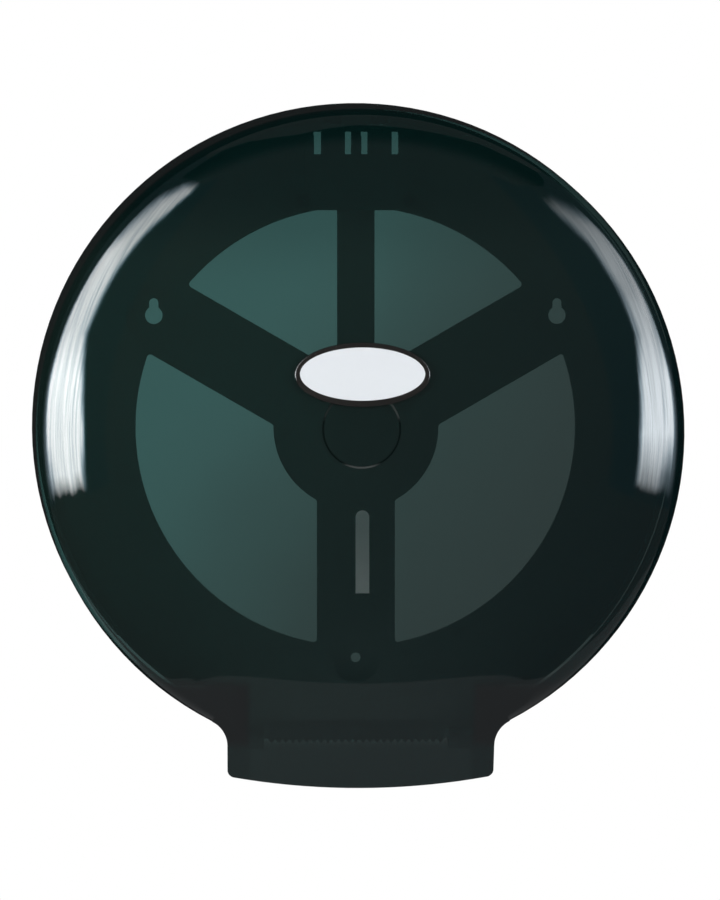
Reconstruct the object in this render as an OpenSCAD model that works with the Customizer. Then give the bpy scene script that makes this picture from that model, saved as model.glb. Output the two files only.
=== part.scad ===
// Jumbo toilet roll dispenser: a smoked drum-shaped cover hinged at the foot of a white open-work
// back plate, with a roll spindle, a two-bolt sprung lock at the top and a tear bar in the mouth.
// Built in front view: x to the right, y up, z out from the wall. Every sub-part is then stood up,
// so that the wall is the plane Y = 0, the front looks along -Y and Z is up.
// The origin is the spindle's axis at the wall.

/* [Cover] */
// Outer radius of the cover at its rear rim
cover_r = 175; // [170:1:185]
// Distance from the wall to the cover's crown
cover_depth = 128; // [120:1:140]
// Wall thickness of the cover
cover_wall = 2.8; // [2.2:0.1:3.4]
// Draft of the cover's side wall in degrees
cover_draft = 4.4; // [3:0.2:5]
// Gap between the cover's rear rim and the wall
rim_gap = 1.5; // [1:0.25:3]
// Tilt in degrees where the flat crown turns into the front edge
crown_tilt = 4; // [3.6:0.1:4.4]
// Radius of the wide front edge
edge_r = 103; // [95:1:106]
// Tilt in degrees where the front edge turns into the tight corner
corner_tilt = 29.6; // [28:0.2:31]
// Radius of the tight corner
corner_r = 14; // [10:1:18]
// Width of the level slot
slot_w = 7; // [5:0.5:9]
// Distance from the spindle's axis down to the top of the level slot
slot_drop = 38; // [36:1:44]
// Length of the level slot
slot_len = 42.5; // [30:0.5:60]

/* [Mouth] */
// Outer width of the mouth below the drum
mouth_w = 138; // [130:1:150]
// How far the middle of the mouth's lip reaches below the drum
lip_reach = 9; // [6:1:13]
// How far the lip's middle hangs below its ends
lip_sag = 6; // [3:0.5:8]
// Radius of the lip's two corners
lip_corner_r = 4; // [2:0.5:6]
// Radius of the hollow blend between drum and mouth
blend_r = 14; // [10:1:18]
// Height of the crease across the front above the drum's foot
crease_rise = 48; // [43:1:53]
// Slope in degrees of the front below the crease
mouth_slope = 25; // [20:1:28]
// Radius of the bow across the front below the crease
mouth_bow_r = 500; // [400:10:700]

/* [Badge] */
// Width of the badge's frame
badge_w = 69; // [50:1:80]
// Height of the badge's frame
badge_h = 32.7; // [24:0.1:36]
// Width of the rim that the frame shows round its plate
badge_rim = 2.1; // [1.5:0.1:3]
// Height of the badge's centre above the spindle's axis
badge_rise = 31; // [28:1:40]
// How far the frame stands proud of the crown
badge_proud = 2.4; // [1.5:0.1:3.5]

/* [Back plate] */
// Width of the flat gutter between the raised panel and the cover's outline
panel_inset = 13; // [11:0.5:17]
// Distance from the wall to the panel's face
panel_face = 8; // [7:0.5:10]
// Thickness of the moulding
skin = 2.5; // [2:0.1:3]
// Width of the panel's ring outside the windows
ring_w = 43; // [38:1:50]
// Radius of the hub
hub_r = 44.5; // [38:0.5:50]
// Width of the three spokes
spoke_w = 42; // [36:1:46]
// Width of the strap from the lock to the hub
strap_w = 20; // [14:1:26]
// Rounding of the windows' corners
window_corner_r = 2; // [1:0.25:4]
// Thickness of the ribs underneath
rib_t = 1.6; // [1.2:0.1:2.2]
// Height of the rim's lip above the wall
rim_height = 10; // [8:0.5:12]
// Gap between the rim's lip and the cover
rim_clearance = 0.8; // [0.6:0.1:1.2]
// Height of the lower ends of the rim's lip above the drum's foot
lip_end_rise = 63; // [59:1:75]
// Height of the chord that ends the panel above the drum's foot
chord_rise = 34; // [32:0.5:36]
// How far the tongue's lower edge lies below the hinge axis
tongue_foot = 0.5; // [0.2:0.1:2]
// Gap between the tongue and the mouth's side wall, on each side
tongue_clearance = 0.8; // [0.6:0.1:1.4]

/* [Fixings] */
// Distance between the two keyholes
keyhole_spacing = 218; // [212:1:224]
// Height of the keyholes above the spindle's axis
keyhole_height = 60.5; // [56:0.5:66]
// Height of the lower fixing hole above the drum's foot
lower_hole_rise = 50; // [48:0.5:53]
// Radius of a keyhole's entry
keyhole_entry_r = 4.75; // [4:0.05:5.5]
// Width of a keyhole's slot
keyhole_slot_w = 5; // [4:0.1:5.5]
// Height from a keyhole's entry to the end of its slot
keyhole_rise = 6.7; // [5.5:0.1:8]
// Radius of the lower fixing hole
lower_hole_r = 2.7; // [2.2:0.05:3.2]
// Radius of the pocket round each keyhole
pocket_r = 15; // [13:0.5:16]

/* [Spindle] */
// Radius of the spindle
spindle_r = 20.25; // [18:0.25:21]
// Distance from the wall to the spindle's end
spindle_end = 79; // [60:1:95]
// Radius of the spindle's flange
spindle_flange_r = 26; // [25.5:0.5:30]
// Thickness of the spindle's flange
spindle_flange_t = 3; // [2:0.5:4]
// Wall thickness of the spindle
spindle_wall = 2.4; // [1.8:0.1:3]
// Rounding of the spindle's end
spindle_round = 2; // [1:0.25:2.25]
// Radius of the circle on which the spindle's screws lie
spindle_screw_circle_r = 14.2; // [13.6:0.1:14.6]
// Radius of the spindle's screw bosses
boss_r = 4; // [3:0.25:4.5]
// Length of the spindle's screw bosses
boss_len = 30; // [20:1:40]
// Length of the spindle screws' shanks
spindle_screw_len = 14; // [10:1:18]

/* [Hinge] */
// Height of the hinge axis above the drum's foot
hinge_rise = 7; // [5:0.5:9]
// Distance from the wall to the hinge axis
hinge_depth = 17; // [17:0.25:19]
// Radius of the hinge pins
hinge_pin_r = 2; // [1.5:0.1:2.2]
// Radius of the hinge lugs
hinge_lug_r = 5; // [4.5:0.1:5.5]
// Width of each hinge lug
hinge_lug_w = 15.5; // [12:0.5:18]
// Running clearance of the pins, on the radius
pin_clearance = 0.05; // [0.02:0.01:0.1]

/* [Lock] */
// Width of the lock's foot
lock_foot_w = 66; // [64:0.5:70]
// Distance from the lock's lower edge up to the panel's edge
lock_inset = 45; // [44:0.5:47]
// Height of the foot itself
lock_foot_h = 9.7; // [8:0.1:11]
// Width of the lock's body
lock_body_w = 55.6; // [54:0.2:60]
// Height of the whole lock
lock_h = 39.4; // [38:0.2:41]
// Distance from the wall to the lock's face
lock_face = 22; // [21:0.5:24]
// Width of a bolt
bolt_w = 12.6; // [12:0.1:13]
// Distance from the middle to the centre line of each bolt
bolt_x = 12.5; // [12.3:0.1:12.9]
// Distance from a bolt's tip up to the cover's outline
bolt_inset = 12; // [11.5:0.1:12.5]
// Travel of a bolt when the key pushes it down
bolt_travel = 5; // [4.5:0.1:5.5]
// Thickness of a bolt's blade
bolt_t = 3.5; // [3:0.1:3.8]
// Sliding clearance of a bolt, on each face
bolt_clearance = 0.15; // [0.1:0.05:0.25]
// Width of the outer slit beside each bolt
slit_w = 4; // [3:0.1:4.5]
// Turns of each bolt's spring
spring_turns = 7; // [5:1:9]
// Radius of a spring's coil to the middle of its wire
spring_r = 2.5; // [2:0.1:2.6]
// Thickness of a spring's wire
spring_wire = 0.7; // [0.5:0.1:0.8]

/* [Tear bar] */
// Gap between each end of the tear bar and the hinge lug beside it
tear_side_gap = 2.4; // [1:0.1:8]
// Height of the tear bar above its teeth
tear_h = 9; // [8:0.5:12]
// Thickness of the tear bar
tear_t = 1; // [0.8:0.1:1.5]
// Pitch of the teeth
tooth_pitch = 3.8; // [3:0.1:5]
// Depth of the teeth
tooth_h = 2.4; // [1.5:0.1:3]
// Radius of the rivets' shanks
rivet_r = 1.5; // [1.2:0.1:2]
// Radius of the rivets' heads
rivet_head_r = 2.8; // [2.2:0.1:3.5]
// Height of the rivets' heads
rivet_head_h = 0.8; // [0.5:0.1:1.2]

/* [Screws] */
// Radius of a screw's shank
screw_r = 1.7; // [1.4:0.05:1.9]
// Radius of a screw's head
screw_head_r = 3.6; // [3:0.1:3.8]
// Height of a screw's head
screw_head_h = 2.2; // [1.8:0.1:2.4]

/* [Hidden] */
$fn = 64;
round_fn = 180;
eps = 0.01;
smoke = [0.22, 0.33, 0.32, 0.55];
white = [0.9, 0.91, 0.91];
steel = [0.66, 0.67, 0.69];
black = [0.06, 0.06, 0.07];

// What is laid out from the drum's foot and from its top
mouth_drop = cover_r + lip_reach;
crease_drop = cover_r - crease_rise;
hinge_drop = cover_r - hinge_rise;
tongue_drop = hinge_drop + tongue_foot;
panel_chord = cover_r - chord_rise;
lip_end_drop = cover_r - lip_end_rise;
lower_hole_drop = cover_r - lower_hole_rise;
panel_r = cover_r - panel_inset;
window_r = panel_r - ring_w;
lock_bottom = panel_r - lock_inset;
lock_top = lock_bottom + lock_h;
bolt_tip = cover_r - bolt_inset;

// The cover's profile: crown, wide front edge, tight corner and drafted side wall, all tangent
crown_r = (cover_r + edge_r * sin(crown_tilt) - (edge_r - corner_r) * sin(corner_tilt)
    - corner_r * cos(cover_draft)
    - tan(cover_draft) * (cover_depth - edge_r * cos(crown_tilt)
        + (edge_r - corner_r) * cos(corner_tilt) + corner_r * sin(cover_draft)))
    / (sin(crown_tilt) - tan(cover_draft) * (1 - cos(crown_tilt)));
crown_centre = [0, cover_depth - crown_r];
edge_centre = crown_centre + (crown_r - edge_r) * [sin(crown_tilt), cos(crown_tilt)];
corner_centre = edge_centre + (edge_r - corner_r) * [sin(corner_tilt), cos(corner_tilt)];

function rim_point(w, depth) = [cover_r - w / cos(cover_draft) - depth * tan(cover_draft), depth];
// Points along an arc, whose tilt is measured from straight ahead
function arc(centre, r, from, to, steps) =
    [for (i = [0:steps]) let (tilt = from + (to - from) * i / steps) centre + r * [sin(tilt), cos(tilt)]];
// The inner radius of the cover at a distance from the wall
function cover_inner_r(depth) = rim_point(cover_wall, depth)[0];

// The blend between drum and mouth leans in with the side wall's draft, and bites a hair into the drum
mouth_half = mouth_w / 2;
blend_reach = cover_r + blend_r - 0.12;
blend_x = mouth_half + blend_r;
blend_y = -sqrt(pow(blend_reach, 2) - pow(blend_x, 2));
blend_lean = -cover_draft * blend_reach / blend_y;
// The mouth's walls start inside the drum, below the crease
mouth_head = -crease_drop - 16 - blend_y;

// The bowed front below the crease: a leaning bow of narrow flats through the crease's middle
bow_half = 14;
bow_flats = 17;
crease_sin = (crease_drop - edge_centre[0]) / edge_r;
crease_face = edge_centre[1] + edge_r * sqrt(1 - pow(crease_sin, 2));

// The badge sits on a flat sunk into the crown
badge_seat = cover_depth - 0.8;
badge_front = cover_depth + badge_proud;
badge_recess = 1;
oval_steps = 96;

tongue_half = mouth_half - cover_wall - tongue_clearance;
lug_x = tongue_half - hinge_lug_w / 2;
tear_w = 2 * (tongue_half - hinge_lug_w - tear_side_gap);
lip_r = (pow(mouth_half, 2) + pow(lip_sag, 2)) / (2 * lip_sag);
ear_r = hinge_depth - rim_gap;
// Tilts of the three spokes from straight up
spoke_tilts = [60, 180, 300];
window_foot = panel_face - skin;
lip_outer_r = cover_inner_r(rim_height) - rim_clearance;

keyhole_places = [for (side = [-1, 1]) [side * keyhole_spacing / 2, keyhole_height]];
lower_place = [0, -lower_hole_drop];
lower_pocket_r = pocket_r - 2;
// The ribs start a little in front of the wall
rib_rise = 0.5;
screw_angles = [90, 210, 330];

lock_screw_x = lock_foot_w / 2 - 4.6;
lock_foot_face = (lock_face + panel_face) / 2;
blade_back = lock_face - skin - bolt_clearance - bolt_t;
shoe_bottom = lock_bottom + 16;
shoe_top = shoe_bottom + 10;
slit_bottom = shoe_top + 3.6;
spring_foot = lock_bottom + skin;
slit_in = bolt_x - bolt_w / 2;
slit_out = bolt_x + bolt_w / 2;
slit_top = sqrt(pow(panel_r, 2) - pow(slit_out + slit_w, 2)) - 1;
keeper_w = 9;
keeper_gap = 0.3;
keeper_bottom = bolt_tip - bolt_travel + 1;
keeper_t = blade_back - keeper_gap - panel_face - 0.5;
key_hole_r = 2.2;

// Stands a front view up: x stays, y becomes Z, and the depth from the wall becomes -Y
module stand_up() {
    rotate([90, 0, 0]) children();
}

// An oval with the given width and height
module oval(w, h) {
    polygon([for (i = [0:oval_steps - 1]) let (a = 360 * i / oval_steps) [w / 2 * cos(a), h / 2 * sin(a)]]);
}

// Half of the drum's section, w inside the outer surface: x is the radius, y the depth
module drum_half_section(w) {
    polygon(concat([[0, rim_gap], rim_point(w, rim_gap)],
        arc(corner_centre, corner_r - w, 90 - cover_draft, corner_tilt + 5, 11),
        arc(edge_centre, edge_r - w, corner_tilt, crown_tilt + 2, 12),
        arc(crown_centre, crown_r - w, crown_tilt, 0, 5)));
}

module drum(w) {
    rotate_extrude($fn = round_fn) drum_half_section(w);
}

// Half of the mouth's leaning section, w inside the outer surface: side wall and hollow blend
function mouth_side(w) = concat([[mouth_half - w, -mouth_drop]],
    arc([blend_x, 0], blend_r + w, -90, -asin(blend_x / blend_reach), 9),
    [[mouth_half - 3, mouth_head]]);

// The mouth's side walls and blends lean in with the drum's draft
module mouth_walls(w) {
    side = mouth_side(w);
    far = len(side) - 1;
    translate([0, blend_y, rim_gap]) rotate([-blend_lean, 0, 0]) translate([0, 0, -20])
        linear_extrude(height = cover_depth + 40)
            polygon(concat(side, [for (i = [0:far]) [-side[far - i][0], side[far - i][1]]]));
}

// What the lip leaves: everything above its arc and its two rounded corners
module above_lip() {
    corner_x = mouth_half - lip_corner_r;
    turn = asin(corner_x / (lip_r - lip_corner_r));
    corner_y = lip_r - mouth_drop - (lip_r - lip_corner_r) * cos(turn);
    half = concat(arc([0, lip_r - mouth_drop], lip_r, 180, 180 - turn + 1, 8),
        arc([corner_x, corner_y], lip_corner_r, 180 - turn, 100, 8),
        [[mouth_w, corner_y + mouth_half / 3], [mouth_w, 0]]);
    far = len(half) - 1;
    linear_extrude(height = 2 * cover_depth)
        polygon(concat(half, [for (i = [0:far - 1]) [-half[far - i][0], half[far - i][1]]]));
}

module mouth(w) {
    if (w > 0) {
        mouth_walls(w);
    } else {
        intersection() {
            mouth_walls(0);
            above_lip();
        }
    }
}

// The leaning, bowed front below the crease, w inside the outer surface: narrow flats on a wide bow
module front_limit(w) {
    r = mouth_bow_r - w;
    reach = cover_r + 15;
    shoulder = r * cos(bow_half) - 40;
    bow = [for (i = [0:bow_flats]) let (a = bow_half * (1 - 2 * i / bow_flats)) r * [sin(a), cos(a)]];
    translate([0, -crease_drop, crease_face]) rotate([90 + mouth_slope, 0, 0])
        translate([0, -mouth_bow_r, -2 * cover_r]) linear_extrude(height = 4 * cover_r)
            polygon(concat(bow, [[-reach, shoulder], [-reach, 0], [reach, 0], [reach, shoulder]]));
}

// The cover as a solid lump, w inside its outer surface
module cover_lump(w) {
    intersection() {
        union() {
            drum(w);
            mouth(w);
        }
        front_limit(w);
        translate([-2 * cover_r, -2 * cover_r, rim_gap]) cube([4 * cover_r, 4 * cover_r, cover_depth]);
    }
}

module key_holes() {
    for (side = [-1, 1]) {
        translate([side * bolt_x, bolt_tip + 2, blade_back + bolt_t / 2]) rotate([-90, 0, 0])
            cylinder(r = key_hole_r, h = 20, $fn = 32);
    }
}

module front_cover() {
    color(smoke) stand_up() {
        difference() {
            cover_lump(0);
            translate([0, 0, -eps]) cover_lump(cover_wall);
            // Level slot
            translate([0, -slot_drop - slot_w / 2, cover_depth / 2]) linear_extrude(height = cover_depth) union() {
                circle(r = slot_w / 2);
                translate([-slot_w / 2, slot_w / 2 - slot_len]) square([slot_w, slot_len - slot_w / 2]);
            }
            // Hinge bores and the clearance that lets the ears turn in front of the wall
            translate([-mouth_w, -hinge_drop, hinge_depth]) rotate([0, 90, 0])
                cylinder(r = hinge_pin_r + pin_clearance, h = 2 * mouth_w, $fn = 48);
            translate([-mouth_w, -hinge_drop, hinge_depth]) rotate([0, 90, 0]) difference() {
                translate([0, -40, 0]) cube([40, 40, 2 * mouth_w]);
                translate([0, 0, -1]) cylinder(r = ear_r, h = 2 * mouth_w + 2, $fn = 96);
            }
            key_holes();
            translate([0, badge_rise, badge_seat]) linear_extrude(height = cover_depth) oval(badge_w, badge_h);
        }
        // Keepers that the bolts hold
        intersection() {
            for (side = [-1, 1]) {
                translate([side * bolt_x - keeper_w / 2, keeper_bottom, blade_back - keeper_gap - keeper_t])
                    cube([keeper_w, cover_r, keeper_t]);
            }
            drum(cover_wall / 2);
        }
    }
}

module badge_frame() {
    color(black) stand_up() translate([0, badge_rise, 0]) difference() {
        translate([0, 0, badge_seat]) linear_extrude(height = badge_front - badge_seat) oval(badge_w, badge_h);
        translate([0, 0, badge_front - badge_recess]) linear_extrude(height = 2 * badge_recess)
            oval(badge_w - 2 * badge_rim, badge_h - 2 * badge_rim);
    }
}

module badge_plate() {
    color(white) stand_up() translate([0, badge_rise, badge_front - badge_recess])
        linear_extrude(height = badge_recess - 0.2) oval(badge_w - 2 * badge_rim - 0.2, badge_h - 2 * badge_rim - 0.2);
}

// The panel's front view with every edge moved in by w
module panel_outline(w) {
    difference() {
        intersection() {
            circle(r = panel_r - w, $fn = round_fn);
            translate([-panel_r, w - panel_chord]) square(2 * panel_r);
        }
        windows(w);
    }
    translate([w - tongue_half, w - tongue_drop]) square([2 * (tongue_half - w), tongue_drop - panel_chord + 20]);
}

// A list without its first and last entries
function inside(list) = [for (i = [1:len(list) - 2]) list[i]];

// The window between two bars, grown by w: each bar has a tilt from straight up and half a width
module window(from, from_half, to, to_half, w) {
    r = window_corner_r + w;
    outer = window_r - window_corner_r;
    inner = hub_r + window_corner_r;
    start_out = from + asin((from_half + window_corner_r) / outer);
    start_in = from + asin((from_half + window_corner_r) / inner);
    end_out = to - asin((to_half + window_corner_r) / outer);
    end_in = to - asin((to_half + window_corner_r) / inner);
    polygon(concat(
        arc(outer * [sin(start_out), cos(start_out)], r, from - 90, start_out, 5),
        inside(arc([0, 0], window_r + w, start_out, end_out, ceil((end_out - start_out) / 3))),
        arc(outer * [sin(end_out), cos(end_out)], r, end_out, to + 90, 5),
        arc(inner * [sin(end_in), cos(end_in)], r, to + 90, end_in + 180, 5),
        inside(arc([0, 0], hub_r - w, end_in, start_in, ceil((end_in - start_in) / 4))),
        arc(inner * [sin(start_in), cos(start_in)], r, start_in + 180, from + 270, 5)));
}

// The windows between the spokes, grown by w; the strap divides the upper one
module windows(w) {
    for (side = [0, 1]) {
        mirror([side, 0, 0]) {
            window(0, strap_w / 2, spoke_tilts[0], spoke_w / 2, w);
            window(spoke_tilts[0], spoke_w / 2, spoke_tilts[1], spoke_w / 2, w);
        }
    }
}

// A flat ring round the panel that is left open below the given drop
module gutter_outline(inner, end_drop) {
    difference() {
        circle(r = lip_outer_r, $fn = round_fn);
        circle(r = inner, $fn = round_fn);
        translate([-cover_r, -2 * cover_r - end_drop]) square([2 * cover_r, 2 * cover_r]);
    }
}

// A rib underneath the panel that runs round the axis, inside the given radius
module ring_rib(r) {
    translate([0, 0, rib_rise]) difference() {
        cylinder(r = r, h = window_foot, $fn = round_fn);
        translate([0, 0, -1]) cylinder(r = r - rib_t, h = window_foot + 2, $fn = round_fn);
    }
}

// A pocket that reaches the wall round a fixing
module pocket(r) {
    cylinder(r = r, h = panel_face, $fn = 96);
}

module hinge_lug() {
    translate([-hinge_lug_w / 2, 0, 0]) rotate([0, 90, 0]) linear_extrude(height = hinge_lug_w) union() {
        translate([-hinge_depth, 0]) circle(r = hinge_lug_r, $fn = 48);
        translate([-hinge_depth, -hinge_lug_r]) square([hinge_depth, 2 * hinge_lug_r]);
    }
}

module keyhole() {
    translate([0, 0, -1]) {
        cylinder(r = keyhole_entry_r, h = skin + 2, $fn = 48);
        translate([0, keyhole_rise, 0]) cylinder(r = keyhole_slot_w / 2, h = skin + 2, $fn = 32);
        translate([-keyhole_slot_w / 2, 0, 0]) cube([keyhole_slot_w, keyhole_rise, skin + 2]);
    }
}

module back_plate() {
    color(white) stand_up() difference() {
        union() {
            difference() {
                linear_extrude(height = panel_face) panel_outline(0);
                // Hollow underside, left open to the wall
                translate([0, 0, -1]) linear_extrude(height = window_foot + 1) panel_outline(skin);
            }
            // Ribs along the spokes and round the hub and the rim stiffen the hollow
            for (tilt = spoke_tilts) {
                rotate(90 - tilt) translate([hub_r - skin, -rib_t / 2, rib_rise])
                    cube([window_r - hub_r + 2 * skin, rib_t, window_foot]);
            }
            ring_rib(spindle_flange_r + 4);
            difference() {
                ring_rib(panel_r - 12);
                translate([-cover_r, -cover_r - panel_chord + 12, -1]) cube([2 * cover_r, cover_r, 20]);
            }
            // Pockets
            for (p = keyhole_places) {
                translate(p) pocket(pocket_r + skin);
            }
            translate(lower_place) pocket(lower_pocket_r + skin);
            // Gutter, and its lip, which ends higher so that the cover's foot swings clear
            linear_extrude(height = skin) gutter_outline(panel_r - skin, panel_chord - 1);
            linear_extrude(height = rim_height) gutter_outline(lip_outer_r - skin, lip_end_drop);
            // Hinge lugs
            for (side = [-1, 1]) {
                translate([side * lug_x, -hinge_drop, 0]) hinge_lug();
            }
        }
        for (p = keyhole_places) {
            translate(p) translate([0, 0, skin]) pocket(pocket_r);
            translate(p) keyhole();
        }
        translate(lower_place) translate([0, 0, skin]) pocket(lower_pocket_r);
        translate(lower_place) translate([0, 0, -1]) cylinder(r = lower_hole_r, h = skin + 2, $fn = 32);
        // Spindle screws
        for (a = screw_angles) {
            rotate(a) translate([spindle_screw_circle_r, 0, -1])
                cylinder(r = screw_r + 0.3, h = panel_face + 2, $fn = 32);
        }
        // Lock screws, bolt slits and the gap in the lip that the keepers pass
        for (side = [-1, 1]) {
            translate([side * lock_screw_x, lock_bottom + lock_foot_h / 2, -1])
                cylinder(r = screw_r, h = panel_face + 2, $fn = 32);
            translate([side * (slit_out + slit_w / 2) - slit_w / 2, slit_bottom, -1])
                cube([slit_w, slit_top - slit_bottom, panel_face + 2]);
            translate([side * (slit_in / 2 + 1.3) - 1.8, slit_bottom, -1])
                cube([3.6, slit_top - slit_bottom, panel_face + 2]);
        }
        translate([-slit_out - slit_w, panel_r + 0.5, skin]) cube([2 * (slit_out + slit_w), 20, rim_height]);
        // Hinge bores
        translate([-mouth_w, -hinge_drop, hinge_depth]) rotate([0, 90, 0])
            cylinder(r = hinge_pin_r, h = 2 * mouth_w, $fn = 48);
        // Tear bar rivet holes
        for (x = [-1, 0, 1] * tear_w * 0.4) {
            translate([x, tear_h / 2 - tongue_drop, -1]) cylinder(r = rivet_r, h = panel_face + 2, $fn = 32);
        }
    }
}

module spindle() {
    reach = spindle_end - panel_face;
    inner_r = spindle_r - spindle_wall;
    rib_foot = 6;
    color(white) stand_up() translate([0, 0, panel_face]) {
        rotate_extrude($fn = 128) polygon(concat([[inner_r, 0], [spindle_flange_r, 0],
            [spindle_flange_r, spindle_flange_t], [spindle_r, spindle_flange_t]],
            arc([spindle_r - spindle_round, reach - spindle_round], spindle_round, 90, 0, 8),
            [[0, reach], [0, reach - spindle_wall], [inner_r, reach - spindle_wall]]));
        // Screw bosses, and ribs from a middle rod to the wall
        for (a = screw_angles) {
            rotate(a) translate([spindle_screw_circle_r, 0, 0]) difference() {
                cylinder(r = boss_r, h = boss_len, $fn = 48);
                translate([0, 0, -1]) cylinder(r = screw_r + 0.05, h = spindle_screw_len + 4, $fn = 32);
            }
            rotate(a + 60) translate([1.5, -0.8, rib_foot])
                cube([spindle_r - spindle_wall / 2 - 1.5, 1.6, reach - spindle_wall / 2 - rib_foot]);
        }
        translate([0, 0, rib_foot - 1]) cylinder(r = 3, h = reach - spindle_wall / 2 - rib_foot, $fn = 48);
    }
}

// A pan-head screw whose head stands on z = 0 and whose shank runs up
module screw(length) {
    rotate_extrude($fn = 48) difference() {
        union() {
            translate([0, -screw_head_h]) square([screw_head_r, screw_head_h]);
            square([screw_r, length]);
        }
        polygon([[0, -screw_head_h - 1], [1.6, -screw_head_h - 1], [1.6, -screw_head_h], [0, -screw_head_h / 2]]);
    }
}

module spindle_screws() {
    color(steel) stand_up() {
        for (a = screw_angles) {
            rotate(a) translate([spindle_screw_circle_r, 0, window_foot]) screw(spindle_screw_len);
        }
    }
}

module hinge_pin() {
    pin_in = tongue_half - hinge_lug_w;
    translate([pin_in, -hinge_drop, hinge_depth]) rotate([0, 90, 0])
        cylinder(r = hinge_pin_r, h = mouth_half - pin_in - 0.3, $fn = 48);
}

module hinge_pin_left() {
    color(steel) stand_up() mirror([1, 0, 0]) hinge_pin();
}

module hinge_pin_right() {
    color(steel) stand_up() hinge_pin();
}

// The lock's front view
module lock_outline() {
    translate([-lock_foot_w / 2, lock_bottom]) square([lock_foot_w, lock_foot_h]);
    translate([-lock_body_w / 2, lock_bottom]) square([lock_body_w, lock_top - lock_bottom]);
}

module lock_housing() {
    channel_w = bolt_w + 2 * bolt_clearance;
    color(white) stand_up() difference() {
        union() {
            translate([0, 0, panel_face]) linear_extrude(height = lock_face - panel_face) difference() {
                lock_outline();
                translate([-lock_foot_w, lock_bottom - 1]) square([lock_foot_w - lock_body_w / 2, lock_foot_h + 2]);
                translate([lock_body_w / 2, lock_bottom - 1]) square([lock_foot_w, lock_foot_h + 2]);
            }
            translate([0, 0, panel_face]) linear_extrude(height = lock_foot_face - panel_face)
                translate([-lock_foot_w / 2, lock_bottom]) square([lock_foot_w, lock_foot_h]);
        }
        for (side = [-1, 1]) {
            // Channel for a bolt's shoe and spring, then for its blade
            translate([side * bolt_x - channel_w / 2, spring_foot, panel_face - 1])
                cube([channel_w, shoe_top + bolt_clearance - spring_foot, lock_face - panel_face - skin + 1]);
            translate([side * bolt_x - channel_w / 2, spring_foot, blade_back - bolt_clearance])
                cube([channel_w, lock_top - spring_foot + 1, lock_face - skin - blade_back + bolt_clearance]);
            // Slits on both sides of the blade, open at the top
            translate([side * (slit_out + slit_w / 2) - slit_w / 2, slit_bottom, 0])
                cube([slit_w, lock_top, lock_face + 1]);
            translate([side * (slit_in / 2 + 1.3) - 1.8, slit_bottom, 0]) cube([3.6, lock_top, lock_face + 1]);
            translate([side * lock_screw_x, lock_bottom + lock_foot_h / 2, 0])
                cylinder(r = screw_r + 0.3, h = lock_face + 1, $fn = 32);
            translate([side * lock_screw_x, lock_bottom + lock_foot_h / 2, lock_foot_face])
                cylinder(r = screw_head_r + 0.4, h = lock_face, $fn = 48);
        }
        // The face is cut away so that the blades show
        translate([-slit_out - slit_w / 2, slit_bottom, lock_face - skin - bolt_clearance])
            cube([2 * slit_out + slit_w, lock_top, lock_face]);
    }
}

module lock_screws() {
    color(steel) stand_up() {
        for (side = [-1, 1]) {
            translate([side * lock_screw_x, lock_bottom + lock_foot_h / 2, lock_foot_face])
                mirror([0, 0, 1]) screw(lock_foot_face - window_foot + 1.5);
        }
    }
}

// A bolt: a shoe that slides in the channel and a blade with a bevelled tip
module latch_bolt() {
    color(white) stand_up() {
        translate([-bolt_w / 2, shoe_bottom, panel_face + bolt_clearance])
            cube([bolt_w, shoe_top - shoe_bottom, blade_back + bolt_t - panel_face - bolt_clearance]);
        translate([-bolt_w / 2, 0, 0]) rotate([90, 0, 90]) linear_extrude(height = bolt_w)
            polygon([[shoe_bottom, blade_back], [bolt_tip, blade_back],
                [bolt_tip, blade_back + 1], [bolt_tip - 3, blade_back + bolt_t],
                [shoe_bottom, blade_back + bolt_t]]);
    }
}

module latch_bolt_left() {
    translate([-bolt_x, 0, 0]) latch_bolt();
}

module latch_bolt_right() {
    translate([bolt_x, 0, 0]) latch_bolt();
}

// A helical spring along z as one swept tube with closed, flattened ends
module coil(r, wire, length, turns) {
    steps = 12 * turns;
    sides = 6;
    climb = (length - wire) / steps;
    points = [for (i = [0:steps], k = [0:sides - 1])
        let (a = 360 * i / 12, b = 360 * k / sides, q = r + wire / 2 * cos(b))
        [q * cos(a), q * sin(a), wire / 2 + climb * i + wire / 2 * sin(b)]];
    skins = [for (i = [0:steps - 1], k = [0:sides - 1])
        let (n = i * sides, m = (k + 1) % sides)
        each [[n + k, n + m, n + sides + m], [n + k, n + sides + m, n + sides + k]]];
    first = [for (k = [1:sides - 2]) [0, k + 1, k]];
    last = [for (k = [1:sides - 2]) [steps * sides, steps * sides + k, steps * sides + k + 1]];
    polyhedron(points = points, faces = concat(skins, first, last));
}

module latch_spring() {
    length = shoe_bottom - spring_foot;
    depth = (panel_face + lock_face - skin) / 2;
    color(steel) translate([0, -depth, spring_foot]) coil(spring_r, spring_wire, length, spring_turns);
}

module latch_spring_left() {
    translate([-bolt_x, 0, 0]) latch_spring();
}

module latch_spring_right() {
    translate([bolt_x, 0, 0]) latch_spring();
}

module tear_bar() {
    teeth = floor(tear_w / tooth_pitch);
    row = teeth * tooth_pitch / 2;
    color(steel) stand_up() translate([0, -tongue_drop, panel_face]) linear_extrude(height = tear_t) difference() {
        union() {
            translate([-tear_w / 2, 0]) square([tear_w, tear_h]);
            for (i = [0:teeth - 1]) {
                translate([i * tooth_pitch - row, 0])
                    polygon([[0, 0.5], [0, 0], [tooth_pitch / 2, -tooth_h], [tooth_pitch, 0], [tooth_pitch, 0.5]]);
            }
        }
        for (x = [-1, 0, 1] * tear_w * 0.4) {
            translate([x, tear_h / 2]) circle(r = rivet_r + 0.1, $fn = 32);
        }
    }
}

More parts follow.
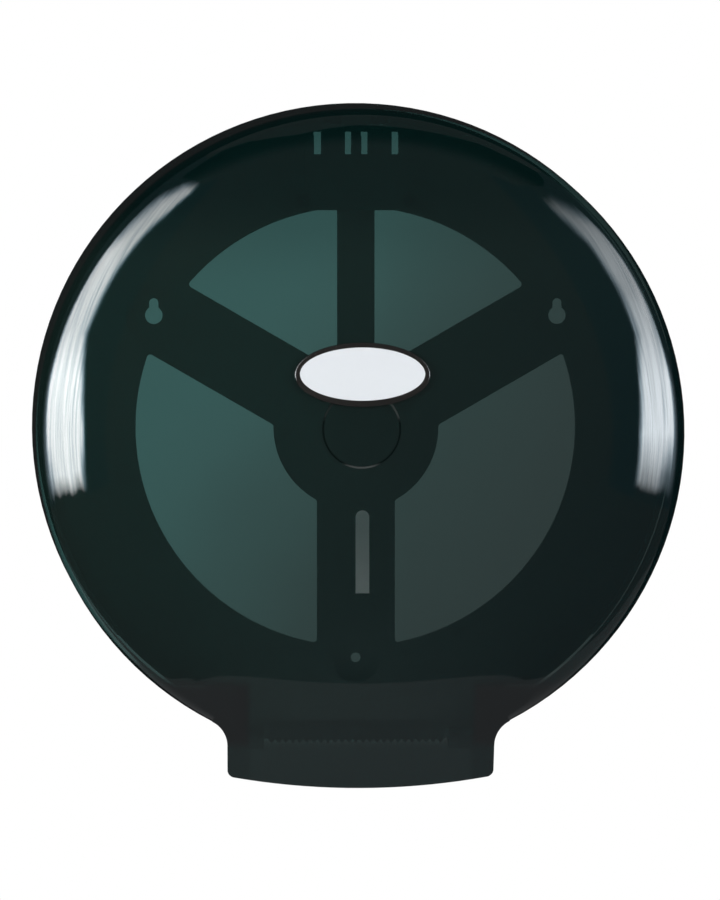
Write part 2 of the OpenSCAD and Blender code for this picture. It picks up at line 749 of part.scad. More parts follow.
module tear_bar_rivets() {
    color(steel) stand_up() {
        for (x = [-1, 0, 1] * tear_w * 0.4) {
            translate([x, tear_h / 2 - tongue_drop, panel_face + tear_t]) rotate_extrude($fn = 48) union() {
                square([rivet_head_r, rivet_head_h]);
                translate([0, -tear_t - skin]) square([rivet_r, tear_t + skin]);
            }
        }
    }
}

back_plate();
spindle();
spindle_screws();
front_cover();
badge_frame();
badge_plate();
hinge_pin_left();
hinge_pin_right();
lock_housing();
lock_screws();
latch_bolt_left();
latch_bolt_right();
latch_spring_left();
latch_spring_right();
tear_bar();
tear_bar_rivets();
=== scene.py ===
"""Looks of the jumbo toilet roll dispenser.

A smoked cover, a white back plate, a badge, a lock and small fittings, lit as in a studio."""
import math

import bmesh
import bpy
import numpy as np
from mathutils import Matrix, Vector


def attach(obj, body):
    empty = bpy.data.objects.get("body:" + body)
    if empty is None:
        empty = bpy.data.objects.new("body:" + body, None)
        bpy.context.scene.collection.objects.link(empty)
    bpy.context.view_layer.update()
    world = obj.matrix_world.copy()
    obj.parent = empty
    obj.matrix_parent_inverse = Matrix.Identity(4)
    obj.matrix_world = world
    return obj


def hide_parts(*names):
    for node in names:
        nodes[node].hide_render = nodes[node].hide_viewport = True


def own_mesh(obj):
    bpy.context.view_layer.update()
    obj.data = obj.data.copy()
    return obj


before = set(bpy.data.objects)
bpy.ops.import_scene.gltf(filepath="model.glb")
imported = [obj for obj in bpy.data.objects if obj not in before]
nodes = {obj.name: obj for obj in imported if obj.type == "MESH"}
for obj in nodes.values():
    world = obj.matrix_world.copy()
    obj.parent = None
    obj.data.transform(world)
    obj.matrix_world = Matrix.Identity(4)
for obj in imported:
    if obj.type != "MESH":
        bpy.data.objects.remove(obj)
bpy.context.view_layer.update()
MM = 0.001


def new_object(name, data):
    """A new object that stands in the scene."""
    thing = bpy.data.objects.new(name, data)
    bpy.context.scene.collection.objects.link(thing)
    return thing


# ---------------------------------------------------------------- shader maths
class Wire:
    """A shader value that adds its Math nodes when it is used in an expression."""

    def __init__(self, shop, socket):
        self.shop, self.socket = shop, socket

    def _op(self, operation, *others):
        return self.shop.wire("ShaderNodeMath", {"operation": operation}, [self, *others])

    def __add__(self, o):
        return self._op("ADD", o)

    def __sub__(self, o):
        return self._op("SUBTRACT", o)

    def __rsub__(self, o):
        return self.shop.wire("ShaderNodeMath", {"operation": "SUBTRACT"}, [o, self])

    def __mul__(self, o):
        return self._op("MULTIPLY", o)

    def __pow__(self, o):
        return self._op("POWER", o)

    def __abs__(self):
        return self._op("ABSOLUTE")

    def clamp(self, low, high):
        return self._op("MINIMUM", high)._op("MAXIMUM", low)


class Shop:
    """One material's node tree, and the calls that fill it."""

    def __init__(self, name):
        self.mat = bpy.data.materials.new(name)
        self.mat.use_nodes = True
        self.tree = self.mat.node_tree
        self.tree.nodes.clear()
        self.out = self.tree.nodes.new("ShaderNodeOutputMaterial")
        self.coords = self.tree.nodes.new("ShaderNodeTexCoord").outputs["Object"]

    def node(self, kind, settings=None, inputs=()):
        """A new node. Its inputs are numbers, colours, sockets or wires, in their order or under their keys."""
        n = self.tree.nodes.new(kind)
        for key, value in (settings or {}).items():
            setattr(n, key, value)
        for key, value in inputs.items() if isinstance(inputs, dict) else enumerate(inputs):
            socket = n.inputs[key]
            if isinstance(value, Wire):
                value = value.socket
            if isinstance(value, bpy.types.NodeSocket):
                self.tree.links.new(value, socket)
            elif isinstance(value, tuple) and len(value) == 3 and socket.type == "RGBA":
                socket.default_value = (*value, 1)
            else:
                socket.default_value = value
        return n

    def wire(self, kind, settings=None, inputs=(), out=0):
        return Wire(self, self.node(kind, settings, inputs).outputs[out])

    def noise(self, scale, detail=3.0, rough=0.5, stretch=None):
        where = self.coords
        if stretch:
            where = self.node("ShaderNodeMapping", None, {"Vector": where, "Scale": stretch}).outputs[0]
        return self.wire("ShaderNodeTexNoise", None, {
            "Vector": where, "Scale": scale, "Detail": detail, "Roughness": rough})

    def blend(self, mask, a, b):
        return self.wire("ShaderNodeMix", {"data_type": "RGBA"}, {0: mask, 6: a, 7: b}, out=2)

    def bump(self, height, distance, strength=1.0):
        return self.wire("ShaderNodeBump", None, {
            "Height": height, "Distance": distance, "Strength": strength})

    def place(self):
        """The object's own x, y and z in metres."""
        n = self.node("ShaderNodeSeparateXYZ", None, [self.coords])
        return [Wire(self, n.outputs[i]) for i in range(3)]

    def smooth(self, value, start, end, low=0.0, high=1.0):
        """A soft step from low to high while the value goes from start to end."""
        return self.wire("ShaderNodeMapRange", {"interpolation_type": "SMOOTHSTEP"},
                         [value, start, end, low, high])

    def curve(self, value, stops):
        """The grey that a ramp has at this value; three stops or more, each (place, grey)."""
        n = self.node("ShaderNodeValToRGB", None, [value])
        ramp = n.color_ramp.elements
        while len(ramp) < len(stops):
            ramp.new(1.0)
        for element, (place, grey) in zip(ramp, stops):
            element.position, element.color = place, (grey, grey, grey, 1)
        return Wire(self, n.outputs[0])

    def finish(self, shader):
        self.tree.links.new(shader.socket, self.out.inputs["Surface"])
        return self.mat


# ---------------------------------------------------------------- plastics and steel
PLASTIC_IOR, COAT_ROUGHNESS = 1.5, 0.06
GLOSS_SPREAD, LINE_SPREAD = 0.16, 0.25


def moulded_plastic(name, light, dark, roughness, grain, coat=0.0):
    """Injection-moulded plastic: faint flow marks in the colour, a fine grain and a slightly uneven gloss."""
    s = Shop(name)
    flow = s.noise(14.0, 4.0, 0.55, stretch=(1.0, 1.0, 2.2))
    fine = s.noise(900.0, 2.0)
    colour = s.blend(((flow - 0.35) * 2.2).clamp(0.0, 1.0), light, dark)
    rough = (s.noise(60.0) - 0.5) * GLOSS_SPREAD + roughness
    return s.finish(s.wire("ShaderNodeBsdfPrincipled", None, {
        "Base Color": colour, "Roughness": rough, "Normal": s.bump(fine, grain), "IOR": PLASTIC_IOR,
        "Coat Weight": coat, "Coat Roughness": COAT_ROUGHNESS}))


STEEL_LIGHT, STEEL_STAIN = (0.62, 0.62, 0.63), (0.48, 0.48, 0.49)
STEEL_LINE = 0.02 * MM
ALONG_X, ALONG_Y = 0, 1


def drawn_steel(name, along, roughness=0.28, metal=1.0):
    """Stainless steel with fine lines along one axis and faint stains. Less metal stands for a blasted skin."""
    s = Shop(name)
    stretch = tuple(6.0 if axis == along else 420.0 for axis in range(3))
    lines = s.noise(1.0, 5.0, 0.6, stretch)
    colour = s.blend(s.noise(35.0), STEEL_LIGHT, STEEL_STAIN)
    rough = (lines - 0.5) * LINE_SPREAD + roughness
    return s.finish(s.wire("ShaderNodeBsdfPrincipled", None, {
        "Base Color": colour, "Roughness": rough, "Metallic": metal, "Normal": s.bump(lines, STEEL_LINE)}))


# ---------------------------------------------------------------- the smoke, in metres of the object's own frame
SMOKE_IOR, SMOKE_RIPPLE = 1.72, 0.12 * MM
SMOKE_GREEN, SMOKE_GREY = (0.577, 0.963, 0.938), (0.82, 0.97, 0.95)
# The smoke's faint colour with painted light and shade in it: painted light at the upper left, painted shade at the
# lower right, at the top and at the foot of the neck
LIT_HAZE_LEFT, SHADED_HAZE_RIGHT = (0.0052, 0.0142, 0.0120), (0.0003, 0.0062, 0.0068)
SHADED_HAZE_TOP, SHADED_HAZE_FOOT = (0.0008, 0.0070, 0.0066), (0.0010, 0.0018, 0.0025)
# Where one state passes into the next: heights, and the distance to the side of the neck's middle
TOP_SHADE_Z, CROWN_Z = (0.085, 0.125), (0.07, 0.11)
SHOULDER_Z, FOOT_Z, FOOT_SHADE_Z = (-0.132, -0.123), (-0.163, -0.153), (-0.164, -0.158)
FLANK_X = (0.0555, 0.0605)
# Shares let through at the crown, below the shoulder beside the neck and at the neck's foot; the last two are painted
# shade of the shadowed backdrop behind
CROWN_OPEN, SHOULDER_OPEN, FOOT_OPEN = 0.90, 0.12, 0.42
# The share that a face lets straight through, from the upper left to the lower right; its fall towards the lower right
# is painted shade of the shadowed backdrop behind
OPEN_STOPS = [(0.2, 0.295), (0.3, 0.285), (0.42, 0.252), (0.50, 0.232), (0.62, 0.205), (0.85, 0.182)]
# The thin circle under the badge, a painted glint and painted shade of the spindle's front rim behind the cover: its
# middle, the two edges of its line and the line's painted lit and shaded colours
CIRCLE_X, CIRCLE_Z = -0.0004, 0.0033
CIRCLE_INNER, CIRCLE_OUTER = (0.0189, 0.0193), (0.0199, 0.0203)
CIRCLE_LIT, CIRCLE_SHADE = (0.050, 0.056, 0.055), (0.002, 0.004, 0.004)


def smoked_plastic(name):
    """See-through smoked plastic: each face lets a tinted share straight through and mirrors like glass.

    The smoke lets less through towards the lower right, at the foot of the neck and beside it, as painted shade
    of the shadowed backdrop behind; a little less at the top, and less where a face slants away from the eye.
    The thin circle in it is a painted glint and painted shade of the spindle's front rim behind: lit above and
    below and dark at its sides."""
    s = Shop(name)
    x, _, z = s.place()
    facing = s.wire("ShaderNodeLayerWeight", None, {"Blend": 0.5}, out=1)
    across = x * 3.0 - z * 2.4 + 0.5 + (s.noise(6.0) - 0.5) * 0.25

    # The circle stands for the spindle's front rim behind the cover, with painted glints above and below
    dx, dz = x - CIRCLE_X, z - CIRCLE_Z
    radius = (dx * dx + dz * dz) ** 0.5
    circle = s.smooth(radius, *CIRCLE_INNER) * s.smooth(radius, *CIRCLE_OUTER, 1.0, 0.0)
    lit_below = s.smooth(dz, -0.0168, -0.0190)
    lit_above = s.smooth(dz, 0.0030, 0.0075) * s.smooth(dx, -0.004, 0.012, 0.4, 0.8)
    lit = (lit_below + lit_above).clamp(0.0, 1.0)

    # Painted shade: the share let through drops beside the neck below the shoulder, at the neck's foot and towards the
    # lower right
    shoulder = s.smooth(z, *SHOULDER_Z, SHOULDER_OPEN, 1.0)
    flank = 1.0 - s.smooth(abs(x), *FLANK_X) * (1.0 - shoulder)
    foot = s.smooth(z, *FOOT_Z, FOOT_OPEN, 1.0)
    crown = s.smooth(z, *CROWN_Z, 1.0, CROWN_OPEN)
    slant = (1.0 - facing) ** 0.6
    open_share = s.curve(across, OPEN_STOPS) * foot * flank * crown * slant * (1.0 - circle)

    # Painted light and shade in the smoke's colour: lighter at the upper left, darker at the lower right, at the top
    # and at the foot beside the neck
    lit_and_shaded_haze = s.blend(across.clamp(0.0, 1.0), LIT_HAZE_LEFT, SHADED_HAZE_RIGHT)
    lit_and_shaded_haze = s.blend(s.smooth(z, *TOP_SHADE_Z), lit_and_shaded_haze, SHADED_HAZE_TOP)
    lit_and_shaded_haze = s.blend(circle * lit * 0.8, lit_and_shaded_haze, CIRCLE_LIT)
    lit_and_shaded_haze = s.blend((1.0 - flank) * s.smooth(z, *FOOT_SHADE_Z), lit_and_shaded_haze, SHADED_HAZE_FOOT)
    scuff = s.noise(140.0, 4.0, 0.65)
    rough = ((scuff - 0.62) * 0.25).clamp(0.0, 0.05) + 0.025
    ripple = s.bump(s.noise(9.0, 2.0, 0.4), SMOKE_RIPPLE)
    body = s.wire("ShaderNodeBsdfPrincipled", None, {
        "Base Color": lit_and_shaded_haze, "Roughness": rough, "IOR": SMOKE_IOR, "Normal": ripple})

    green = s.wire("ShaderNodeBsdfTransparent", None, {"Color": SMOKE_GREEN})
    grey = s.wire("ShaderNodeBsdfTransparent", None, {"Color": SMOKE_GREY})
    clear = s.wire("ShaderNodeMixShader", None, [s.smooth(across, 0.1, 1.0), green, grey])
    closed = 1.0 - open_share * (1.0 - facing ** 5.0)
    shell = s.wire("ShaderNodeMixShader", None, [closed, clear, body])
    # Painted shade: a dark diffuse ring at the circle's sides, for the shade at the spindle's front rim
    painted_rim_shade = s.wire("ShaderNodeBsdfDiffuse", None, {"Color": CIRCLE_SHADE})
    return s.finish(s.wire("ShaderNodeMixShader", None, [circle * (1.0 - lit) * 0.85, shell, painted_rim_shade]))


# ---------------------------------------------------------------- which piece is made of what
WHITE_LIGHT, WHITE_DARK = (0.79, 0.80, 0.79), (0.73, 0.745, 0.735)
abs_white = moulded_plastic("white_abs", (0.80, 0.815, 0.81), (0.74, 0.755, 0.75), 0.42, 0.03 * MM)
bolt_white = moulded_plastic("bolt_acetal", WHITE_LIGHT, WHITE_DARK, 0.36, 0.02 * MM)
spindle_white = moulded_plastic("spindle_abs", WHITE_LIGHT, WHITE_DARK, 0.36, 0.02 * MM)
badge_white = moulded_plastic("badge_white", (0.725, 0.758, 0.792), (0.705, 0.738, 0.772), 0.30, 0.01 * MM, 0.4)
badge_black = moulded_plastic("badge_black", (0.013, 0.012, 0.011), (0.006, 0.006, 0.006), 0.22, 0.01 * MM, 0.5)
steel_x = drawn_steel("steel_drawn", ALONG_X)
steel_blasted = drawn_steel("steel_blasted", ALONG_X, 0.5, 0.3)
steel_bar = drawn_steel("steel_ground", ALONG_X, 0.42, 0.75)
steel_y = drawn_steel("steel_turned", ALONG_Y, 0.32)
smoke = smoked_plastic("smoked_plastic")

FINISH = {
    "back_plate": abs_white, "lock_housing": abs_white, "spindle": spindle_white,
    "latch_bolt_left": bolt_white, "latch_bolt_right": bolt_white,
    "badge_frame": badge_black, "badge_plate": badge_white, "front_cover": smoke,
    "hinge_pin_left": steel_x, "hinge_pin_right": steel_x, "tear_bar": steel_bar,
    "lock_screws": steel_blasted, "tear_bar_rivets": steel_blasted, "spindle_screws": steel_y,
    "latch_spring_left": steel_y, "latch_spring_right": steel_y,
}
for name, material in FINISH.items():
    mesh = nodes[name].data
    mesh.materials.clear()
    mesh.materials.append(material)


# ---------------------------------------------------------------- the cover's smooth skin
# The cover's profile in mm: crown, wide front edge, corner and drafted wall, each tangent to the next
COVER_R, COVER_DEPTH, WALL, DRAFT = 175.0, 128.0, 2.8, math.radians(4.4)
CROWN_TILT, CORNER_TILT, EDGE_R, CORNER_R = math.radians(4.0), math.radians(29.6), 103.0, 14.0
MOUTH_HALF, BLEND_R = 69.0, 14.0
CREASE_DROP, MOUTH_SLOPE, BOW_R = 127.0, math.radians(25.0), 500.0

CROWN_R = (COVER_R + EDGE_R * math.sin(CROWN_TILT) - (EDGE_R - CORNER_R) * math.sin(CORNER_TILT)
           - CORNER_R * math.cos(DRAFT)
           - math.tan(DRAFT) * (COVER_DEPTH - EDGE_R * math.cos(CROWN_TILT)
                                + (EDGE_R - CORNER_R) * math.cos(CORNER_TILT) + CORNER_R * math.sin(DRAFT))
           ) / (math.sin(CROWN_TILT) - math.tan(DRAFT) * (1 - math.cos(CROWN_TILT)))
CROWN_C = np.array([0.0, COVER_DEPTH - CROWN_R])
EDGE_C = CROWN_C + (CROWN_R - EDGE_R) * np.array([math.sin(CROWN_TILT), math.cos(CROWN_TILT)])
CORNER_C = EDGE_C + (EDGE_R - CORNER_R) * np.array([math.sin(CORNER_TILT), math.cos(CORNER_TILT)])
CREASE_FACE = EDGE_C[1] + EDGE_R * math.sqrt(1 - ((CREASE_DROP - EDGE_C[0]) / EDGE_R) ** 2)
# The blends' circles stand this far out, where the draft has taken this much off the radius
BLEND_START, DRAFT_LOSS = 1.5, 0.12
BLEND_REACH = COVER_R + BLEND_R - DRAFT_LOSS
BLEND_X = MOUTH_HALF + BLEND_R
BLEND_Y = -math.sqrt(BLEND_REACH ** 2 - BLEND_X ** 2)
BLEND_LEAN = -DRAFT * BLEND_REACH / BLEND_Y

# A face takes the smooth form with the lowest score: mm off it, and how far the face turns away from it
WORST_SCORE, LEAST_COSINE, TURN_WEIGHT = 0.6, 0.985, 4.0
SAME_PLACE, NEAR_AXIS = 1e-7, 1e-6


def smooth_normals(points, inner):
    """For points in mm, (distances, outward normals) for each smooth form of the cover that they may lie on."""
    w = WALL if inner else 0.0
    x, up, out = points[:, 0], points[:, 2], -points[:, 1]
    r = np.hypot(x, up)
    arcs = []
    for centre, radius in ((CROWN_C, CROWN_R - w), (EDGE_C, EDGE_R - w), (CORNER_C, CORNER_R - w)):
        dr, dz = r - centre[0], out - centre[1]
        size = np.hypot(dr, dz)
        arcs.append((np.arctan2(dr, dz), size - radius, dr / size, dz / size))
    crown, front_edge, corner = arcs
    zone = np.where(crown[0] < CROWN_TILT, 0,
                    np.where(front_edge[0] < CORNER_TILT, 1,
                             np.where(corner[0] < math.pi / 2 - DRAFT, 2, 3)))
    wall_off = (r - (COVER_R - w / math.cos(DRAFT) - out * math.tan(DRAFT))) * math.cos(DRAFT)
    off = np.choose(zone, [crown[1], front_edge[1], corner[1], wall_off])
    nr = np.choose(zone, [crown[2], front_edge[2], corner[2], np.full(len(r), math.cos(DRAFT))])
    nz = np.choose(zone, [crown[3], front_edge[3], corner[3], np.full(len(r), math.sin(DRAFT))])
    safe = np.maximum(r, NEAR_AXIS)
    found = [(off, np.stack([nr * x / safe, -nz, nr * up / safe], 1))]
    # The leaning bow below the crease
    c, s = math.cos(MOUTH_SLOPE), math.sin(MOUTH_SLOPE)
    ahead = (up + CREASE_DROP) * -s + (out - CREASE_FACE) * c + BOW_R
    size = np.hypot(x, ahead)
    found.append((size - (BOW_R - w), np.stack([x / size, -ahead / size * c, -ahead / size * s], 1)))
    # The leaning blends
    c, s = math.cos(BLEND_LEAN), math.sin(BLEND_LEAN)
    for side in (-1, 1):
        dx = x - side * BLEND_X
        dy = (up - BLEND_Y) * c - (out - BLEND_START) * s
        size = np.hypot(dx, dy)
        found.append((BLEND_R + w - size, np.stack([-dx / size, dy / size * s, -dy / size * c], 1)))
    return found


def read(items, key):
    """The three numbers that each of a mesh's items has under this key, as rows."""
    values = np.empty(len(items) * 3)
    items.foreach_get(key, values)
    return values.reshape(-1, 3)


def smooth_cover(source):
    """A copy of the CAD cover whose bent faces carry the normals of the smooth forms that they stand for."""
    mesh = source.data.copy()
    piece = new_object("cover_shell", mesh)
    bm = bmesh.new()
    bm.from_mesh(mesh)
    bmesh.ops.remove_doubles(bm, verts=bm.verts, dist=SAME_PLACE)
    bm.to_mesh(mesh)
    bm.free()
    mesh.shade_smooth()
    places, middle = read(mesh.vertices, "co") / MM, read(mesh.polygons, "center") / MM
    flat = read(mesh.polygons, "normal")
    loops = np.empty(len(mesh.loops), int)
    mesh.loops.foreach_get("vertex_index", loops)
    owner = np.repeat(np.arange(len(flat)), [p.loop_total for p in mesh.polygons])
    normals = flat[owner]
    best = np.full(len(flat), WORST_SCORE)
    for inner in (False, True):
        sign = -1.0 if inner else 1.0
        at_faces, at_places = smooth_normals(middle, inner), smooth_normals(places, inner)
        for (off, n), (_, n_place) in zip(at_faces, at_places):
            cosine = np.sum(flat * n, 1) * sign
            score = np.abs(off) + TURN_WEIGHT * (1.0 - cosine)
            take = (cosine > LEAST_COSINE) & (score < best)
            best[take] = score[take]
            mask = take[owner]
            normals[mask] = (n_place * sign)[loops[mask]]
    mesh.normals_split_custom_set(normals.tolist())
    return piece


cover = smooth_cover(nodes["front_cover"])
cover.data.materials.clear()
cover.data.materials.append(smoke)
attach(cover, "cover")
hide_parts("front_cover")


# ---------------------------------------------------------------- the latch springs, copied onto the base
for side in ("left", "right"):
    coil = new_object(f"spring_coil_{side}", nodes[f"latch_spring_{side}"].data.copy())
    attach(coil, "base")
    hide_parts(f"latch_spring_{side}")
    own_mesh(coil)


# ---------------------------------------------------------------- the badge's frame with rounded edges
SHARP_ANGLE = math.radians(40)


def oval_rings(name, up, rings, sides=160):
    """A closed solid through ovals: each ring is (half width, half height, distance from the wall, lift) in mm."""
    verts, faces = [], []
    for a, b, d, lift in rings:
        for k in range(sides):
            turn = 2 * math.pi * k / sides
            verts.append((a * MM * math.cos(turn), -d * MM, (up + lift + b * math.sin(turn)) * MM))
    for r in range(len(rings) - 1):
        for k in range(sides):
            n = (k + 1) % sides
            faces.append((r * sides + k, (r + 1) * sides + k, (r + 1) * sides + n, r * sides + n))
    faces.append(tuple(range(sides)))
    last = (len(rings) - 1) * sides
    faces.append(tuple(last + k for k in reversed(range(sides))))
    mesh = bpy.data.meshes.new(name)
    mesh.from_pydata(verts, [], faces)
    bm = bmesh.new()
    bm.from_mesh(mesh)
    bmesh.ops.recalc_face_normals(bm, faces=bm.faces)
    bm.to_mesh(mesh)
    bm.free()
    mesh.shade_smooth()
    mesh.set_sharp_from_angle(angle=SHARP_ANGLE)
    return new_object(name, mesh)


# The badge's middle above the cover's, and how far from the wall the frame sits, its front is and the plate's face is
BADGE_UP = 31.0
SEAT, FRONT, FACE = 127.2, 130.4, 130.2
FRAME_RINGS = [
    (34.5, 16.35, SEAT, 0), (34.5, 16.35, FRONT - 0.9, 0),
    (34.4, 16.25, FRONT - 0.45, 0), (34.1, 15.95, FRONT - 0.12, 0),
    (33.7, 15.5, FRONT, 0), (32.5, 14.2, FRONT, 0.2),
    (32.0, 13.75, FRONT - 0.05, 0.3), (31.75, 13.5, FACE + 0.02, 0.35),
    (32.42, 14.22, FACE + 0.02, 0), (32.42, 14.22, FACE - 0.78, 0),
]
bezel = oval_rings("badge_bezel", BADGE_UP, FRAME_RINGS)
bezel.data.materials.append(badge_black)
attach(bezel, "cover")
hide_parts("badge_frame")


# ---------------------------------------------------------------- studio, in metres
ROOM = 0.10         # how bright the room is to all but the camera
FLOOR_Z, ROOF_Z = -0.9, 1.3
FLOOR_GLOW = 0.93
CARD_COLOUR = (0.95, 0.98, 1.0)
# The two upright panels: their distance to the side, their near end and their heights
PANEL_X, PANEL_Y, PANEL_LOW, PANEL_HIGH = 1.1, -2.1, -0.3, 2.0
PANEL_RISE = PANEL_HIGH - PANEL_LOW
PANEL_RIM = (0.66, 0.85, 1.0)
EDGE_SPAN = 2.0     # the ramp for an edge goes from this far in front of the wall to the wall


def stage_plane(name, corners, material):
    """A flat piece of the studio, which belongs to no body."""
    mesh = bpy.data.meshes.new(name)
    mesh.from_pydata(corners, [], [tuple(range(len(corners)))])
    plane = new_object(name, mesh)
    mesh.materials.append(material)
    return plane


def level_at(z, outline):
    return [(x, y, z) for x, y in outline]


def floor_material():
    """Light grey, and nearly as white as the background where the camera sees it."""
    s = Shop("studio_floor")
    shade = s.blend(s.noise(3.0, 2.0), (0.80, 0.80, 0.80), (0.77, 0.77, 0.77))
    seen_by_camera = s.wire("ShaderNodeLightPath")
    glow = s.blend(seen_by_camera, (0.0, 0.0, 0.0), (FLOOR_GLOW, FLOOR_GLOW, FLOOR_GLOW))
    return s.finish(s.wire("ShaderNodeBsdfPrincipled", None, {
        "Base Color": shade, "Roughness": 0.7, "Emission Color": glow, "Emission Strength": 1.0}))


studio_floor = stage_plane("floor", level_at(FLOOR_Z, [(-6, -6), (6, -6), (6, 3.5), (-6, 3.5)]), floor_material())
studio_floor.visible_glossy = False


def mirrored_card(name, corners, s, colour, level):
    """A glowing card that only gloss shows."""
    card = stage_plane(name, corners, s.finish(
        s.wire("ShaderNodeEmission", None, {"Color": colour, "Strength": level})))
    card.visible_camera = card.visible_diffuse = card.visible_shadow = card.visible_transmission = False


def over_height(points):
    """Stops of a ramp over a panel's height, from (z, value)."""
    return [((z - PANEL_LOW) / PANEL_RISE, value) for z, value in points]


def edge_stops(points):
    """Stops of such a ramp that stand for the y of one of the panel's edges."""
    return over_height([(z, (y + EDGE_SPAN) / EDGE_SPAN) for z, y in points])


def softbox(name, side, peak, core, rise, near, far):
    """An upright lit panel beside the object, with frayed edges.

    rise is its brightness over its height, near and far are the y of its edges. A dim wing fills its lower
    part towards the wall, and what stays dark glows like the room behind it."""
    s = Shop(name)
    _, y, z = s.place()
    fray = (s.noise(2.2, 5.0, 0.62, stretch=(1.0, 2.6, 0.55)) - 0.5) * 0.16
    up = (z + (s.noise(7.0, 2.0) - 0.5) * 0.07 - PANEL_LOW) * (1.0 / PANEL_RISE)
    near_y, far_y = (s.curve(up, edge_stops(points)) * EDGE_SPAN - EDGE_SPAN for points in (near, far))
    panel = s.smooth(y - near_y + fray, -0.10, 0.08) * s.smooth(y - far_y + fray, -0.16, 0.18, 1.0, 0.0)
    wing = (s.smooth(y, -0.50, -0.05, 0.20, 0.0) * s.smooth(z, 0.10, 0.30, 1.0, 0.0)
            * s.smooth(y, -0.62, -0.50))
    streak = s.noise(1.0, 4.0, 0.6, stretch=(1.0, 26.0, 1.6))
    share = (panel + wing) * (1.0 - ((streak - 0.42) * 1.6).clamp(0.0, 0.45))
    level = share * s.curve(up, over_height(rise)) * peak + ROOM
    colour = s.blend((share * 1.5 - 0.3).clamp(0.0, 1.0), PANEL_RIM, core)
    x = side * PANEL_X
    mirrored_card(name, [(x, PANEL_Y, PANEL_LOW), (x, 0.0, PANEL_LOW), (x, 0.0, PANEL_HIGH), (x, PANEL_Y, PANEL_HIGH)],
                  s, colour, level)


softbox("softbox_left", -1, peak=20.0, core=(0.98, 0.99, 1.0),
        rise=[(-0.28, 0.0), (-0.24, 0.45), (-0.20, 0.80), (0.0, 0.88), (0.16, 1.0), (0.36, 0.72), (0.56, 0.62),
              (0.74, 0.55), (0.90, 0.44), (1.08, 0.38), (1.28, 0.34), (1.55, 0.30), (1.74, 0.0)],
        near=[(-0.2, -1.20), (-0.1, -1.26), (-0.03, -1.27), (0.16, -1.13), (0.36, -0.98), (0.56, -1.03),
              (0.74, -1.10), (0.90, -1.20), (1.08, -1.31), (1.28, -1.45), (1.55, -1.59), (1.72, -1.60)],
        far=[(-0.2, -0.58), (-0.03, -0.47), (0.16, -0.42), (0.36, -0.50), (0.56, -0.60), (0.74, -0.68),
             (0.90, -0.84), (1.08, -0.94), (1.28, -1.06), (1.55, -1.34), (1.72, -1.58)])
softbox("softbox_right", 1, peak=13.5, core=(0.88, 0.945, 1.0),
        rise=[(-0.26, 0.0), (-0.22, 0.32), (-0.15, 0.62), (-0.04, 1.0), (0.15, 0.88), (0.35, 0.58), (0.53, 0.37),
              (0.67, 0.34), (0.83, 0.27), (1.0, 0.20), (1.18, 0.08), (1.3, 0.0)],
        near=[(-0.2, -1.12), (-0.04, -1.10), (0.15, -1.01), (0.35, -0.87), (0.53, -0.90), (0.67, -0.96),
              (0.83, -1.02), (1.0, -1.13), (1.18, -1.25), (1.3, -1.30)],
        far=[(-0.2, -0.66), (-0.04, -0.50), (0.15, -0.45), (0.35, -0.52), (0.53, -0.50), (0.67, -0.50),
             (0.83, -0.60), (1.0, -0.86), (1.18, -1.06), (1.3, -1.20)])


def glow_card(name, corners, level, fade=None):
    """A faintly glowing card; with fade it is as bright as the room at the first y and itself at the second."""
    s = Shop(name)
    glow = s.noise(1.2, 2.0) * (0.3 * level) + 0.85 * level
    if fade:
        glow = s.smooth(s.place()[1], *fade, ROOM, 0.0) + glow
    mirrored_card(name, corners, s, CARD_COLOUR, glow)


glow_card("table_card", level_at(FLOOR_Z, [
    (-0.58, -0.76), (0.60, -0.76), (0.68, -0.64), (1.10, -0.66), (1.6, -0.45),
    (2.5, 1.2), (-2.3, 0.8), (-1.4, 0.0), (-1.0, -0.38), (-0.64, -0.60)]), 0.225)
# The edge that the bright and the dark card above the object share, from left to right
SEAM = [(-0.62, -0.50), (-0.45, -0.80), (-0.25, -0.88), (0.0, -0.80), (0.30, -0.80), (0.72, -0.75), (0.95, -0.45)]
glow_card("top_card", level_at(ROOF_Z, [(-0.80, 0.55), *SEAM, (1.0, 0.55)]), 0.125)
glow_card("dark_card", level_at(ROOF_Z, [
    SEAM[0], (-0.90, -0.90), (-0.80, -1.30), (0.90, -1.34), (1.05, -1.0), *SEAM[:0:-1]]), 0.010, (-1.30, -0.92))
glow_card("back_card", [(-3.0, 0.02, -0.25), (3.0, 0.02, -0.25), (3.0, 0.02, 2.4), (-3.0, 0.02, 2.4)], 0.012)


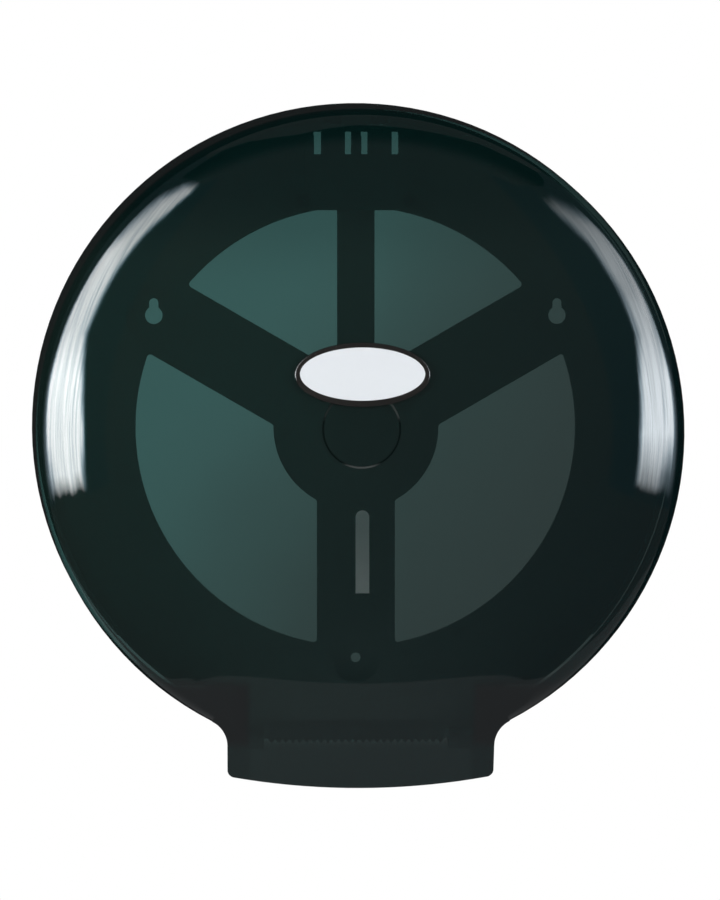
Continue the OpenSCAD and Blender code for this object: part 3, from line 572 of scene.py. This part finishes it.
def aim_at(thing, place, point):
    """Puts a lamp or the camera in its place and turns it to look at a point."""
    thing.location = place
    thing.rotation_euler = (Vector(point) - Vector(place)).to_track_quat("-Z", "Y").to_euler()


def area_lamp(name, place, size, power):
    """A lamp that lights the object's middle and is not mirrored."""
    data = bpy.data.lights.new(name, "AREA")
    data.shape, data.size, data.size_y, data.energy = "RECTANGLE", *size, power
    lamp = new_object(name, data)
    aim_at(lamp, place, (0, 0, 0))
    lamp.visible_glossy = False


area_lamp("lamp_left", (-1.35, -1.15, 0.45), (1.2, 1.3), 25.0)
area_lamp("lamp_right", (1.35, -1.15, 0.45), (1.2, 1.3), 23.5)
area_lamp("lamp_top", (0, -0.6, 1.8), (1.4, 1.0), 10.0)
area_lamp("lamp_behind", (0.5, 1.7, 0.9), (1.6, 1.2), 16.0)


def build_world():
    """White to the camera, dim to everything that is lit or mirrored by it."""
    world = bpy.data.worlds.new("studio")
    bpy.context.scene.world = world
    world.use_nodes = True
    tree = world.node_tree
    tree.nodes.clear()
    out = tree.nodes.new("ShaderNodeOutputWorld")
    path = tree.nodes.new("ShaderNodeLightPath")
    strength = tree.nodes.new("ShaderNodeMapRange")
    strength.inputs["To Min"].default_value = ROOM
    tree.links.new(path.outputs["Is Camera Ray"], strength.inputs["Value"])
    background = tree.nodes.new("ShaderNodeBackground")
    background.inputs["Color"].default_value = (1, 1, 1, 1)
    tree.links.new(strength.outputs[0], background.inputs["Strength"])
    tree.links.new(background.outputs[0], out.inputs["Surface"])


build_world()

# ---------------------------------------------------------------- camera
CAMERA_AT, CAMERA_AIM = (-0.0566, -2.063, 0.072), (0.0024, 0.0, -0.0125)
SENSOR_MM, LENS_MM = 36.0, 152.5
cam_data = bpy.data.cameras.new("camera")
cam_data.sensor_width, cam_data.lens = SENSOR_MM, LENS_MM
cam_data.clip_start, cam_data.clip_end = 0.05, 50.0
camera = new_object("camera", cam_data)
aim_at(camera, CAMERA_AT, CAMERA_AIM)
bpy.context.scene.camera = camera

bpy.context.scene.view_settings.view_transform = "Standard"
